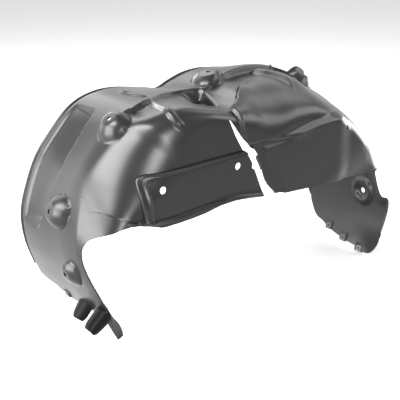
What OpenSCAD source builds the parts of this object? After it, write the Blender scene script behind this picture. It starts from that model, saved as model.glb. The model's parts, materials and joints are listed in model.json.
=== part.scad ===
// Wheel arch liner: one moulded plastic sheet that stands on its two feet.
// +X runs from the left foot to the right foot, -Y is the side wall that faces
// the car body, +Z is up. The origin is at the middle of the footprint.
// The sheet is a loft of sections set around the wheel axis. Each section runs
// from the far rim over the barrel, round the shoulder and down the side wall.

/* [Arch] */
// Nominal radius of the barrel about the wheel axis
arch_r = 420; // [400:1:440]
// Width from the far rim to the side wall
liner_w = 290; // [270:1:310]
// Height of the wheel axis above the floor
axle_h = 140; // [130:1:150]
// Wheel axis along X, measured from the middle of the footprint
axle_x = -10; // [-20:1:0]
// Thickness of the moulded sheet
sheet_t = 3; // [2.4:0.1:4]

/* [Rim] */
// Width of the flange along the far rim
lip_w = 22; // [14:1:30]
// How far the rim flange lies below the barrel
lip_drop = 5; // [2:0.5:8]
// Depth of the long pocket beside the rim flange
pocket_d = 7; // [3:0.5:9]

/* [Step and ribs] */
// Height of the step along the top, right half
step_h = 16; // [8:1:20]
// Height of the step along the top, left half
step_left_h = 10; // [5:1:14]
// Half width of each rib across the barrel
rib_w = 8; // [6:0.5:11]
// Height of each rib across the barrel
rib_h = 5; // [3:0.5:8]
// Depth of the recess in front of the top boss
recess_d = 20; // [10:1:24]

/* [Screw bosses] */
// Height of the left shoulder boss
boss_a_h = 22; // [16:1:28]
// Height of the top boss
boss_b_h = 15; // [10:1:20]
// Height of the right boss on the crest
boss_c_h = 22; // [14:1:26]
// Height of the boss on the left face
boss_d_h = 22; // [14:1:28]
// Height of the low blister on the left face
boss_e_h = 14; // [8:1:18]
// Base radius of the shoulder and face bosses
boss_base_r = 36; // [32:1:40]
// Seat radius on top of the shoulder and face bosses
boss_seat_r = 17; // [13:1:20]
// Seat radius of the top boss
top_seat_r = 22; // [16:1:24]
// Diameter of the screw holes in the bosses
screw_d = 9; // [6:0.5:11]

/* [Side wall] */
// Height of the lower edge of the side wall above the floor
wall_bottom_h = 256; // [245:1:268]
// Height of the frame bead on the left panel
bead_h = 6; // [3:0.5:8]
// Height of the flange along the lower edge
edge_h = 5; // [2:0.5:8]
// How far the right panel stands proud of the wall
panel_h = 9; // [5:0.5:12]
// How far the right half stands above the strip beside the slit
strip_h = 9; // [4:0.5:12]
// Diameter of the two holes in the left panel
panel_hole_d = 15; // [10:0.5:18]
// Distance between the two holes in the left panel
panel_hole_pitch = 183; // [175:1:190]
// Diameter of the hole in the right panel
side_hole_d = 10; // [6:0.5:14]

/* [Slit] */
// Widening of the slit in the side wall
slit_extra = 0; // [-2:0.5:4]
// Width of the tab that laps behind the left panel
tab_w = 32; // [26:1:38]
// Reach of the tab from the right panel
tab_l = 46; // [38:1:52]
// Hole in the tab
tab_hole_d = 13; // [8:0.5:16]

/* [Feet] */
// Length of the two tongues under the left foot
tongue_l = 37; // [30:1:44]
// Width of the tongues under the left foot
tongue_w = 40; // [34:1:46]
// Width of each pad that carries a spring nut
ear_w = 22; // [18:1:28]
// Thickness of each pad
ear_t = 5; // [4.5:0.1:6]
// Reach of each pad beyond the edge of the foot
ear_l = 6; // [4:0.5:9]
// Outward flare at the near corner of the right foot
foot_flare = 13; // [6:1:20]
// Diameter of the hole in the right foot
foot_hole_d = 13; // [8:0.5:16]

/* [Spring nuts] */
// Thickness of the spring steel
clip_t = 1; // [0.8:0.1:1.4]
// Width of a spring nut
clip_w = 14; // [10:1:18]
// Length of a spring nut
clip_l = 15; // [11:1:18]
// Diameter of the screw hole in a spring nut
clip_hole_d = 5; // [4:0.5:7]
// Clearance between a spring nut and the tongue it sits on
clip_gap = 0.3; // [0.2:0.05:0.5]

/* [Hidden] */
$fn = 48;
y_far = 145;
y_wall = y_far - liner_w;
// The tables below are set about the wheel axis; this brings the middle of the
// footprint to the origin
MIDDLE = [6.9, 7.4, -2.64];

// Section stations around the wheel axis: angle, radius at the far rim, radius
// of the crest, radius at the shoulder (all relative to arch_r), depth of the
// shoulder round along the axis, drop of the shoulder round
STATIONS = [
    [-25, -8, -8, -12, 10, 10], [-15, -4, -4, -8, 10, 10], [-5, 0, 2, 2, 14, 14],
    [2, 0, 6, 6, 60, 40], [10, -2, 8, 8, 80, 44], [20, -8, 2, -5, 100, 46],
    [30, -20, -10, -22, 115, 44], [40, -30, -18, -30, 130, 38], [50, -40, -22, -40, 145, 44],
    [60, -55, -34, -54, 155, 66], [70, -70, -55, -70, 155, 76], [80, -78, -78, -90, 150, 78],
    [88, -87, -90, -98, 120, 74], [95, -98, -98, -108, 60, 46], [102, -106, -92, -108, 30, 30],
    [108, -90, -84, -90, 28, 26], [113, -73, -72, -72, 28, 26], [118, -53, -54, -50, 32, 28],
    [123, -34, -32, -30, 40, 32], [129, -16, -17, -18, 60, 45], [134, -8, -12, -20, 75, 60],
    [142, -5, -10, -20, 80, 70], [150, 0, -5, -16, 80, 70], [158, -1, -5, -12, 70, 60],
    [167, -3, -8, -14, 40, 35], [175, -16, -20, -26, 18, 16], [182, -32, -35, -40, 14, 14],
    [190, -48, -50, -52, 12, 12], [200, -63, -63, -63, 10, 10], [210, -70, -70, -70, 10, 10]];
// Where the side wall lies at each angle, relative to its plane
WALL_IN = [[-25, 22], [-5, 7], [10, 2], [30, 0], [150, 0], [165, 2], [173, 10], [180, 20],
    [190, 40], [200, 60], [208, 74]];
// Axial place of the step along the top
STEP_Y = [[-25, 40], [20, 40], [46, 20], [54, 29], [59, 46], [68, 47], [74, 45], [81, 40],
    [88, 20], [95, 9], [105, 24], [112, 19], [118, -8], [125, -36], [130, -29], [140, -20],
    [210, -20]];
STEP_H = [[-25, 0], [40, 0], [48, 0.7], [58, 1], [76, 1], [84, 0.6], [95, 0.4], [118, 0.5],
    [127, 0.6], [132, 0], [210, 0]];
// Lower edge of the side wall along X, relative to wall_bottom_h
EDGE_Z = [[-420, 0], [-374, 5], [-341, 11], [-300, 10], [-278, -2], [-243, -5], [-165, 0],
    [-96, 10], [9, 1], [107, -4], [183, -8], [224, -12], [330, -21], [400, -32]];
// Feet: lower boundary angle along the axis
FOOT_L = [[-150, 203.6], [-82, 203.6], [-76, 197], [-68, 189], [-46, 187.5], [-16, 188.6],
    [8, 189], [37, 188.5], [66, 187.3], [92, 187.4], [120, 186], [145, 182.5]];
FOOT_R = [[-150, -8], [-129, -12], [-112, -16.6], [-95, -18.4], [-62, -17.4], [-21, -16.5],
    [31, -15], [64, -13.2], [89, -12], [113, -8], [130, -3], [150, 2]];
FLANGE = [[-25, 12], [-12, 10], [0, 6], [8, 4], [16, 8], [160, 10], [168, 2], [176, 2],
    [185, 8], [191, 18], [196, 26], [201, 27], [206, 20]];
// Pocket crease and ribs across the barrel
CREASE_Y = [[128, 60], [131, 52], [135, 44], [150, 37], [157, 43], [163, 47], [169, 67], [173, 90]];
RIB_1 = [[-145, 123.8], [-130, 123.4], [-98, 122], [-66, 121], [-18, 119], [8, 118.6], [75, 120.7]];
RIB_2 = [[-100, 66.2], [-88, 65.9], [-56, 64.9], [-28, 64.9], [-3, 65.6], [17, 66.7], [47, 67.5]];
// Top line of the right panel (x, z) and edge of the strip (z, x), z above the wheel axis
PANEL_TOP = [[-60, 232], [-32, 236], [3, 236], [31, 242], [97, 251], [150, 256], [202, 255],
    [260, 242]];
STRIP_X = [[116, 44], [133, 36], [148, 24], [182, 7], [215, -7], [236, -32], [254, -41],
    [278, -59], [293, -73], [305, -84]];
// Slit in the side wall: left and right edge (x, z above the wheel axis)
SLIT_LEFT = [[-96, 292], [-80, 259], [-61, 227], [-50, 220], [-36, 197], [-22, 165], [-6, 127],
    [2, 88]];
SLIT_RIGHT = [[48, 88], [28, 119], [9, 139], [0, 153], [-5, 167], [-11, 183], [-20, 200],
    [-20, 210], [-28, 221], [-37, 226], [-50, 236], [-61, 251], [-77, 272], [-92, 293]];

// Sideways drift of the section lines: on the wall by place along it, so that
// they run with the slit, and on the barrel along the axis, beside the recess
WALL_DRIFT = [[0, 0], [0.1, -0.3], [0.23, -0.6], [0.41, -4], [0.5, -7], [0.6, -9.5],
    [0.8, -14.5], [0.9, -19], [1, -25]];
TOP_DRIFT = [[-105, 0], [-67, -1.4], [-42, -3.2], [10, -6.6], [30, -6], [80, 0]];

// Angles of the sections, closer together where ribs and the slit are
SECTIONS = [for (g = [[203.6, 198, 3], [196, 184, 6], [182, 171.5, 7], [169, 166, 2],
    [164.3, 154.7, 7], [152, 143, 4], [140.5, 127.5, 9], [125.5, 116, 8], [114, 111, 2],
    [109.5, 107, 3], [105.8, 98.4, 8], [96.6, 81, 10], [78.5, 70, 4], [68.3, 62, 6],
    [60, 57, 2], [55.4, 46.2, 7], [43.5, 12, 9], [8.5, 2, 3], [0, -18.6, 8]])
    for (k = [0 : g[2] - 1]) g[0] + (g[1] - g[0]) * k / (g[2] - 1)];

function clamp(x, a, b) = min(max(x, a), b);
function ease(a, b, x) = let (t = clamp((x - a) / (b - a), 0, 1)) t * t * (3 - 2 * t);
// Smooth curve through a table of [x, y...] rows, column c
function slope(T, c, i) = let (n = len(T) - 1, a = max(i - 1, 0), b = min(i + 1, n))
    (T[b][c] - T[a][c]) / (T[b][0] - T[a][0]);
function curve(T, x, c = 1) = let (n = len(T) - 1, u = clamp(x, T[0][0], T[n][0]),
    i = clamp(len([for (r = T) if (r[0] <= u) 1]) - 1, 0, n - 1),
    h = T[i + 1][0] - T[i][0], t = (u - T[i][0]) / h)
    T[i][c] * (1 + 2 * t) * pow(1 - t, 2) + T[i + 1][c] * t * t * (3 - 2 * t)
    + h * (slope(T, c, i) * t * pow(1 - t, 2) - slope(T, c, i + 1) * t * t * (1 - t));

// Lower edge of the wall along a ray at angle a, then the radius with foot flange
function edge_z(x) = wall_bottom_h + curve(EDGE_Z, x);
function ray_edge(a, r, n) = n == 0 ? r
    : ray_edge(a, (edge_z(axle_x + clamp(r, 0, 460) * cos(a)) - axle_h) / max(sin(a), 0.02), n - 1);
function low_r(a) = let (r1 = min(ray_edge(a, 116, 6), 900),
    r2 = arch_r + curve(STATIONS, a, 3) - curve(FLANGE, a), k = 14)
    min(r1, r2) - k * ln(1 + exp(-abs(r1 - r2) / k));

// Radius of the barrel at angle a and axial place y
function barrel_r(a, y) = let (f = curve(STATIONS, a, 1), m = curve(STATIONS, a, 2),
    n = curve(STATIONS, a, 3), s = curve(STEP_Y, a),
    h = max(curve(STEP_H, a), 0) * (a > 90 ? step_left_h * 1.6 : step_h))
    arch_r + foot_flare * ease(-8, -20, a) * ease(-10, -100, y) + h * ease(s - 5, s + 5, y) - h
    + m + (y > s ? (f - m) * ease(s + 10, y_far - 10, y) : (n - m + h) * ease(s, s - 110, y));

function foot_angle(a, y) = a > 150 ? 150 + (curve(FOOT_L, y) - 150) * (a - 150) / 53.6
    : a < 30 ? 30 - (30 - curve(FOOT_R, y)) * (30 - a) / 48.6 : a;
// How strongly a section drifts: fully beside the slit, not at all at the feet
function drift_w(a, m) = a > m ? clamp((148 - a) / (148 - m), 0, 1) : clamp((a - 40) / (m - 40), 0, 1);
// Section data: wall place, shoulder round, drop, arc length and end angle
function wall_y(a) = y_wall + curve(WALL_IN, a);
function wall_top(a) = arch_r + curve(STATIONS, a, 3) - curve(STATIONS, a, 5);
function section(a) = let (y0 = wall_y(a), ay = curve(STATIONS, a, 4),
    ar = curve(STATIONS, a, 5), rn = arch_r + curve(STATIONS, a, 3),
    drop = max(rn - low_r(a), 0.5), la = PI / 2 * sqrt((ay * ay + ar * ar) / 2),
    tm = acos(1 - min(drop, ar) / ar)) [y0, ay, ar, drop, la, tm];
// A base point as [angle, y, radius, shoulder angle, section angle]
function base_pt(a, c, s) = let (y0 = c[0], ay = c[1], ar = c[2], drop = c[3], la = c[4],
    tm = c[5], l1 = y_far - y0 - ay, arc_end = l1 + la * tm / 90,
    t = clamp((s - l1) / la * 90, 0, tm))
    s > arc_end && drop > ar + 1 ? wall_pt(a, (s - arc_end) / (drop - ar), t)
    : let (y = s < l1 ? y_far - s : y0 + ay - ay * sin(t),
        b = foot_angle(a, y) + curve(TOP_DRIFT, y) * drift_w(a, 102) * (a > 60 ? 1 : 0))
        [b, y, barrel_r(b, y) - ar * (1 - cos(t)), t, a];
function wall_pt(a, w, t) = let (b = a + curve(WALL_DRIFT, w) * drift_w(a, 104),
    r = wall_top(b)) [b, wall_y(b), r + (low_r(b) - r) * w, t, a];

// Places along a section where the rows of the sheet run: beside the step and
// the beads in the middle, at even places on the left, where the bosses are
LEFT_Y = [112, 92, 72, 56, 43, 33, 23, 13, 3, -7, -17, -28, -39, -50, -62, -75];
function rows(a, c) = let (l1 = y_far - c[0] - c[1], ls = c[4] * c[5] / 90,
    lw = max(c[3] - c[2], 0), total = l1 + ls + lw,
    st = y_far - curve(STEP_Y, a), arc_end = l1 + ls,
    bead = arc_end + clamp(wall_top(a) - (curve(PANEL_TOP, axle_x + 240 * cos(a)) - 10)
        / max(sin(a), 0.5), 4, max(lw - 40, 5)),
    mid = ease(158, 148, a) * ease(20, 32, a), left = ease(122, 128, a),
    tail = [(arc_end + bead - 7) / 2, bead - 7, bead, bead + 8,
        bead + 8 + (total - 20 - bead) * 0.45, total - 12, total],
    keys = concat([0, 4, lip_w - 3, lip_w + 3],
        [for (k = [1 : 6]) lip_w + 3 + (st - 6 - lip_w - 3) * k / 6], [st, st + 6],
        [for (k = [1 : 8]) st + 6 + (arc_end - st - 6) * pow(k / 8, 1.3)], tail),
    lefts = concat([0, 4, lip_w - 3, lip_w + 3], [for (y = LEFT_Y) y_far - y]),
    n = len(keys) - 1, m = len(lefts) - 1,
    foot = [for (k = [0 : n]) k < m - 3 ? lefts[k]
        : lefts[m - 4] + (total - lefts[m - 4]) * (k - m + 4) / (n - m + 4)])
    [for (k = [0 : n]) (k < m ? keys[k] * (1 - left) + lefts[k] * left : keys[k]) * mid
        + foot[k] * (1 - mid)];

// Height of the moulded features above the base sheet, along its section normal
function f_lip(a, y) = -lip_drop * ease(y_far - lip_w - 3, y_far - lip_w + 3, y)
    - 5 * ease(y_far - 4, y_far, y);
function f_pocket(a, y) = a < 128 || a > 175 || y < 20 ? 0 : let (c = curve(CREASE_Y, a))
    -pocket_d * ease(130, 133, a) * (1 - ease(164, 170, a)) * ease(c - 5, c + 4, y)
    * (1 - ease(c, y_far - lip_w - 6, y));
function f_rib1(a, y, r) = a < 108 || a > 134 ? 0
    : let (d = abs(a - curve(RIB_1, y)) * r * PI / 180)
    (y < -4 ? rib_h * ease(rib_w + 2, 2, d) * ease(350, 364, r) * ease(-4, -14, y)
    : -rib_h * ease(rib_w + 3, 2, d) * ease(4, 14, y) * ease(78, 62, y));
function f_rib2(a, y, r) = a < 48 || a > 80 ? 0
    : let (c = curve(RIB_2, y), d = (c - a) * r * PI / 180, s = curve(STEP_Y, a))
    (rib_h * 0.6 * ease(rib_w, 2, abs(d)) + 10 * ease(-6, 6, d) * ease(75, 18, d))
    * ease(-100, -30, y) * ease(s, s - 10, y);
function f_recess(a, y) = a < 90 || a > 116 ? 0
    : let (s = curve(STEP_Y, a))
    -recess_d * ease(111, 107, a) * ease(101.6, 104.4, a)
    * ease(-80, -66, y) * ease(s + 2, s - 14, y);
function f_frame(x, y, z, t) = t < 60 ? 0
    : let (up = 217 + (x + 282) * 0.046, lo = 203 + (x + 268) * 0.082)
    bead_h * max(
        ease(up + 4, up - 1, z) * ease(lo - 4, lo + 1, z) * ease(-306, -298, x) * ease(-40, -44, x),
        ease(-311, -303, x) * ease(-274, -283, x) * ease(up + 4, up - 6, z));
function f_edge(x, z) = let (e = edge_z(x) - axle_h) edge_h * ease(e + 13, e, z)
    * ease(-330, -290, x) * ease(16, 2, x) * ease(e + 60, e + 20, z);
function f_panel(x, z, a, t) = x < -60 ? 0 : let (p = curve(PANEL_TOP, x))
    panel_h * ease(p + 2, p - 6, z) * ease(0, 8, x - curve(STRIP_X, min(z, 228)))
    * ease(300, 240, x) * ease(10, 50, t);
function f_strip(x, y, z, a) = z < 228 ? 0 : strip_h
    * ease(102.2, 100.6, a) * ease(140, 10, x) * ease(10, -70, y) * ease(228, 240, z);
function height(b) = let (a = b[0], y = b[1], r = b[2], x = axle_x + r * cos(a),
    z = r * sin(a), t = b[3])
    f_lip(a, y) + f_pocket(a, y) + f_rib1(a, y, r) + f_rib2(a, y, r) + f_recess(b[4], y)
    + (a > 8 && a < 170 ? f_frame(x, y, z, t) + (t > 50 ? f_edge(x, z) : 0)
    + (t > 8 ? f_panel(x, z, a, t) + f_strip(x, y, z, b[4]) : 0) : 0);

function rim_pt(b) = [axle_x + b[2] * cos(b[0]), b[1], axle_h + b[2] * sin(b[0])];
function on_sheet(a, y) = rim_pt([a, y, barrel_r(a, y)]);

// Each boss: base point, axis, base radius, seat radius, height
BOSSES = [
    [on_sheet(134.2, -41), [cos(124), -0.12, sin(124)], boss_base_r, boss_seat_r, boss_a_h],
    [on_sheet(88, 45), [0, 0, 1], top_seat_r + 13, top_seat_r, boss_b_h],
    [on_sheet(50, 14), [cos(60), 0, sin(60)], boss_base_r - 6, boss_seat_r, boss_c_h],
    [on_sheet(161, -8), [cos(166), -0.1, sin(166)], boss_base_r - 2, boss_seat_r - 2, boss_d_h],
    [on_sheet(177, -46), [cos(180), -0.1, sin(180)], boss_base_r - 8, boss_seat_r - 5, boss_e_h]];
// The sheet is raised along the boss axis inside the base circle
function boss_lift(p, g) = let (d = p - g[0], n = g[1] / norm(g[1]), q = norm(d - n * (d * n)))
    norm(d) > 90 ? [0, 0, 0] : n * g[4] * ease(g[2] + 2, g[3] - 6, q);
function lift(p) = boss_lift(p, BOSSES[0]) + boss_lift(p, BOSSES[1]) + boss_lift(p, BOSSES[2])
    + boss_lift(p, BOSSES[3]) + boss_lift(p, BOSSES[4]);

// A finished point of the outer skin
function skin_pt(b) = let (t = b[3], a = b[0], s = height(b), p = rim_pt(b))
    p + s * [cos(t) * cos(a), -sin(t), cos(t) * sin(a)] + lift(p);
SKIN = [for (a = SECTIONS) let (c = section(a), s = rows(a, c)) [for (k = s) skin_pt(base_pt(a, c, k))]];
NA = len(SKIN) - 1;
NB = len(SKIN[0]) - 1;
function skin_normal(i, j) = let (u = SKIN[min(i + 1, NA)][j] - SKIN[max(i - 1, 0)][j],
    v = SKIN[i][min(j + 1, NB)] - SKIN[i][max(j - 1, 0)], n = cross(v, u)) n / norm(n);
BACK = [for (i = [0 : NA]) [for (j = [0 : NB]) SKIN[i][j] - sheet_t * skin_normal(i, j)]];

// The closed sheet: outer skin, inner skin and the edge between them
module sheet() {
    w = NB + 1;
    n = (NA + 1) * w;
    pts = concat([for (i = [0 : NA]) for (j = [0 : NB]) SKIN[i][j]],
        [for (i = [0 : NA]) for (j = [0 : NB]) BACK[i][j]]);
    ring = concat([for (i = [0 : NA]) i * w], [for (j = [1 : NB]) NA * w + j],
        [for (i = [1 : NA]) (NA - i) * w + NB], [for (j = [1 : NB - 1]) NB - j]);
    faces = concat(
        [for (i = [0 : NA - 1]) for (j = [0 : NB - 1]) let (p = i * w + j)
            each [[p, p + w + 1, p + 1], [p, p + w, p + w + 1]]],
        [for (i = [0 : NA - 1]) for (j = [0 : NB - 1]) let (p = n + i * w + j)
            each [[p, p + 1, p + w + 1], [p, p + w + 1, p + w]]],
        [for (k = [0 : len(ring) - 1]) let (p = ring[k], q = ring[(k + 1) % len(ring)])
            each [[p, q + n, q], [p, p + n, q + n]]]);
    polyhedron(pts, faces);
}

// Puts children at an angle and axial place, x outward, z along the arch
module at_arch(a, y, r) {
    translate([axle_x, y, axle_h]) rotate([0, -a, 0]) translate([r, 0, 0]) children();
}
// Puts children on a boss seat, z along the boss axis
module on_boss(g) {
    n = g[1] / norm(g[1]);
    translate(g[0] + n * g[4]) rotate([0, acos(n[2]), atan2(n[1], n[0])]) children();
}
// Puts children on the side wall, z towards the car body
module on_wall(x, z, y = y_wall) {
    translate([x, y, axle_h + z]) rotate([90, 0, 0]) children();
}

// Tab of the right panel: a root block on the back of the wall, a plate that
// laps behind the left panel and the hole in the plate
TAB_HOLE = [-29, 187];
TAB_Y = y_wall + sheet_t + 1;
module tab() {
    // root block, let into the back of the wall by half its thickness
    translate([-14, y_wall + sheet_t / 2, axle_h + 190 - tab_w / 2 + 3])
        cube([12, sheet_t * 1.5 + 1, tab_w - 6]);
    translate([-2 - tab_l, TAB_Y, axle_h + 190 - tab_w / 2]) cube([tab_l, sheet_t, tab_w]);
}

// Curved tongues under the left foot: root, lean and turn about their length
TONGUES = [[[-379, -49, 93], -142.8, 0], [[-362, -104, 78], -115.2, -104.2]];
module tongue(g) {
    r = tongue_w * 0.62;
    h = asin(tongue_w / 2 / r);
    translate(g[0]) rotate([0, g[1], 0]) rotate([0, 0, g[2]]) translate([-(r + r * cos(h)) / 2, 0, -12])
        linear_extrude(tongue_l + 12) polygon(concat(
            [for (k = [-4 : 4]) r * [cos(h * k / 4), sin(h * k / 4)]],
            [for (k = [-4 : 4]) (r - sheet_t) * [cos(h * k / 4), -sin(h * k / 4)]]));
}

// Pads that carry the spring nuts: angle and place along the axis of the foot's
// edge, turn and lean to follow the sheet, side of the arch
EARS = [[-14.2, 36, 0, 0, 1], [-16.2, -20, 0, 0, 1], [-17.7, -71, 9, -5, 1], [188.6, 22, 0, -8, -1]];
module on_ear(e) {
    translate([axle_x, e[1], axle_h]) rotate([0, -e[0], 0])
        translate([barrel_r(e[0], e[1]) - sheet_t / 2, 0, 0]) rotate([0, 0, e[2]]) rotate([0, e[3], 0])
            rotate([0, 0, e[4] > 0 ? 0 : 180]) rotate([0, e[4] > 0 ? 0 : 180, 0]) children();
}
// A pad lies over the edge of the sheet, z away from the floor
module ear(e) {
    on_ear(e) translate([-ear_t / 2, -ear_w / 2, -ear_l]) cube([ear_t, ear_w, ear_l + clip_l]);
}

module liner() {
    color([0.12, 0.12, 0.13]) translate(MIDDLE) difference() {
        union() {
            sheet();
            for (g = BOSSES) on_boss(g) translate([0, 0, -7]) cylinder(h = 9.6, r = g[3]);
            tab();
            for (g = TONGUES) tongue(g);
            for (e = EARS) ear(e);
        }
        for (g = BOSSES) on_boss(g) translate([0, 0, -20]) cylinder(h = 30, d = screw_d);
        for (e = EARS) on_ear(e) translate([-20, 0, clip_l / 2 - ear_l]) rotate([0, 90, 0])
            cylinder(h = 40, d = clip_hole_d + 3);
        on_wall(0, 0, y_wall + sheet_t + 0.5) linear_extrude(40)
            polygon(concat(SLIT_LEFT, [for (p = SLIT_RIGHT) [p[0] + slit_extra, p[1]]]));
        on_wall(TAB_HOLE[0], TAB_HOLE[1], y_wall + 20) cylinder(h = 40, d = tab_hole_d);
        for (k = [0, 1]) on_wall(-255 + k * panel_hole_pitch, 183 + 12 * k, y_wall + 14)
            cylinder(h = 40, d = panel_hole_d);
        on_wall(245, 225, y_wall + 30) cylinder(h = 60, d = side_hole_d);
        at_arch(1.8, -49, arch_r - 20) rotate([0, 90, 0]) cylinder(h = 60, d = foot_hole_d);
    }
}

// A folded spring nut over each pad
module spring_nuts() {
    u = ear_t / 2 + clip_gap;
    b = ear_l + clip_gap;
    color([0.75, 0.76, 0.78]) translate(MIDDLE) for (e = EARS) on_ear(e) difference() {
        translate([-u - clip_t, -clip_w / 2, -b - clip_t])
            cube([2 * u + 2 * clip_t, clip_w, clip_l]);
        translate([-u, -clip_w / 2 - 1, -b]) cube([2 * u, clip_w + 2, clip_l]);
        translate([-20, 0, clip_l / 2 - ear_l]) rotate([0, 90, 0]) cylinder(h = 40, d = clip_hole_d);
    }
}

liner();
spring_nuts();
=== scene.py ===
"""Dresses the wheel arch liner: a moulded black sheet with its spring nuts.

The sheet is one surface with two parameters. The first is the angle about the wheel axis, from
the left foot over the top to the right foot. The second is the way along a section, from the far
rim over the barrel, round the shoulder and down the side wall. Ribs, beads, pockets and bosses
are heights above that surface. Tables hold millimetres and degrees; meshes are in metres.
"""
import json

import bmesh
import bpy
import numpy as np
from bpy.props import FloatProperty, FloatVectorProperty, PointerProperty
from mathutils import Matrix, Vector
from mathutils.bvhtree import BVHTree

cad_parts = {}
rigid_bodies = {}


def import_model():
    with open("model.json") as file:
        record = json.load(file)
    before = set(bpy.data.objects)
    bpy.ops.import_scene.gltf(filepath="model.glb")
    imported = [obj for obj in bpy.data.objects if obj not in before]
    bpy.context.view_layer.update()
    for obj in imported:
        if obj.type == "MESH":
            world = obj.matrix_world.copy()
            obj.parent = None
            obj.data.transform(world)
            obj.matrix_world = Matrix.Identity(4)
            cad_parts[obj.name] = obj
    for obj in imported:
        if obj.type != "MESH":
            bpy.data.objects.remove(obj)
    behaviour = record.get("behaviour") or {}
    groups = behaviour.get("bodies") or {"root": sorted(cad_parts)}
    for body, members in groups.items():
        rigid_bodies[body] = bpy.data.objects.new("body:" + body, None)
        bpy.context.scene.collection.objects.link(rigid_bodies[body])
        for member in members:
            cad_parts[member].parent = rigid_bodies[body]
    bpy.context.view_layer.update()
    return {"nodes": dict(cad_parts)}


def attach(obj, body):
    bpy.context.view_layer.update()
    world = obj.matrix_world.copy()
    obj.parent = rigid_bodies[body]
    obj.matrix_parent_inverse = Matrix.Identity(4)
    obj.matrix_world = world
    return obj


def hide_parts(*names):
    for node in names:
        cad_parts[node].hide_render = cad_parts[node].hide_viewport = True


bl_info = {
    "name": "Wheel arch liner",
    "version": (1, 0, 0),
    "blender": (4, 5, 0),
    "location": "View3D > Sidebar > Liner",
    "description": "Builds a moulded wheel arch liner over its solid model",
    "category": "Object",
}

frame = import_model()
MM = 0.001

# Places set about the wheel axis are moved by this to the middle of the footprint
MIDDLE = np.array([6.9, 7.4, -2.64])
# Plain radius of the arch, and X and Z of the wheel axis
ARCH_R = 420.0
AXLE = (-10.0, 140.0)
# Far rim and side wall in Y, and the wall's lower edge above the wheel axis
Y_FAR = 145.0
Y_WALL = -145.0
WALL_BOTTOM = 116.0
# Thickness of the moulded sheet
SHEET = 3.0
# Angles where the sheet ends, where the feet start and where the cut of the left foot starts
LEFT_END = 203.6
RIGHT_END = -18.6
LEFT_FOOT = 150
RIGHT_FOOT = 30
LEFT_CUT = 184
# Width of the rim flange, and half the widths of the rows that follow it and the step
LIP = 22.0
LIP_HALF = 3
STEP_HALF = 6
# Heights and depths of the moulded features
STEP_HEIGHT = 16
FOOT_FLARE = 13
POCKET_EDGE = 3
POCKET_DEPTH = 9
RIB_1_HEIGHT = 5
RIB_2_BEAD = 3
RIB_2_RISE = 10
RECESS_DEPTH = 20
EDGE_HEIGHT = 5
PANEL_HEIGHT = 9
STRIP_HEIGHT = 9
DIMPLE_DEPTH = 6

# Section stations: angle, radius at the far rim, on the crest and at the shoulder, relative to
# the arch radius, then depth of the shoulder along Y and its fall inwards
STATIONS = np.array([
    [-25, -8, -8, -12, 10, 10], [-15, -4, -4, -8, 10, 10], [-5, 0, 2, 2, 14, 14],
    [2, 0, 6, 6, 60, 40], [10, -2, 8, 5, 76, 44], [20, -8, 2, -9, 94, 50],
    [30, -20, -10, -23, 110, 54], [40, -30, -18, -35, 128, 54], [50, -40, -22, -47, 148, 54],
    [60, -55, -34, -54, 155, 66], [70, -70, -55, -70, 155, 76], [80, -78, -78, -90, 150, 78],
    [88, -87, -90, -98, 120, 74], [95, -98, -98, -108, 60, 46], [102, -106, -92, -108, 30, 30],
    [108, -90, -84, -90, 28, 26], [113, -73, -72, -72, 28, 26], [118, -53, -54, -50, 34, 42],
    [123, -34, -32, -30, 46, 62], [129, -16, -17, -18, 62, 92], [134, -8, -12, -20, 80, 110],
    [142, -5, -10, -20, 98, 112], [150, 0, -5, -16, 106, 90], [158, -1, -5, -12, 102, 64],
    [167, -3, -8, -14, 84, 44], [175, -16, -20, -26, 62, 28], [182, -32, -35, -40, 45, 20],
    [190, -48, -50, -52, 25, 14], [200, -63, -63, -63, 10, 10], [210, -70, -70, -70, 10, 10]])
# The next tables hold pairs: a place, then a value
# Side wall: how far it is turned in, by angle
WALL_IN = [[-25, 22], [-5, 7], [3, 8], [10, 12], [17, 14], [24, 5], [30, 0], [40, 0], [150, 0],
           [158, 0], [165, -3], [173, 3], [180, 13], [190, 37], [200, 60], [208, 74]]
# Step across the barrel: its Y and its share of the full height, by angle
STEP_Y = [[-25, 40], [20, 40], [46, 20], [54, 29], [59, 46], [68, 47], [74, 45], [81, 40],
          [88, 20], [95, 9], [105, 24], [112, 19], [118, -8], [125, -36], [130, -29],
          [140, -20], [210, -20]]
STEP_H = [[-25, 0], [40, 0], [48, 0.7], [58, 1], [76, 1], [84, 0.6], [95, 0.4], [118, 0.5],
          [127, 0.6], [132, 0], [210, 0]]
# Lower edge of the side wall: how far it rises, by X
EDGE_Z = [[-420, 0], [-374, 5], [-341, 11], [-300, 10], [-278, -2], [-243, -5], [-165, 0],
          [-96, 10], [9, 1], [107, -4], [183, -8], [224, -12], [330, -21], [400, -32]]
# Feet: the cut at the left one's tip, then the last angle of each, by Y
FOOT_CUT = [[-150, 0], [-130, 0], [-122, -4.6], [-112, -9], [-95, -12], [-82, -13], [-76, -7],
            [-68, 0], [150, 0]]
FOOT_L = [[-150, 203.6], [-82, 203.6], [-76, 197], [-68, 189], [-46, 187.5], [-16, 188.6],
          [8, 189], [37, 188.5], [66, 187.3], [92, 187.4], [120, 186], [145, 182.5]]
FOOT_R = [[-150, -8], [-129, -12], [-112, -16.6], [-95, -18.4], [-62, -17.4], [-21, -16.5],
          [31, -15], [64, -13.2], [89, -12], [113, -8], [130, -3], [150, 2]]
# Near flange of the feet: how far it reaches down from the shoulder, by angle
FLANGE = [[-25, 12], [-12, 10], [0, 6], [8, 4], [16, 8], [160, 10], [168, 2], [176, 2],
          [185, 8], [191, 18], [196, 26], [201, 27], [206, 20]]
# Crease of the pocket: its Y, by angle
CREASE_Y = [[128, 60], [131, 52], [135, 44], [150, 37], [157, 43], [163, 47], [169, 67],
            [173, 90]]
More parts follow.
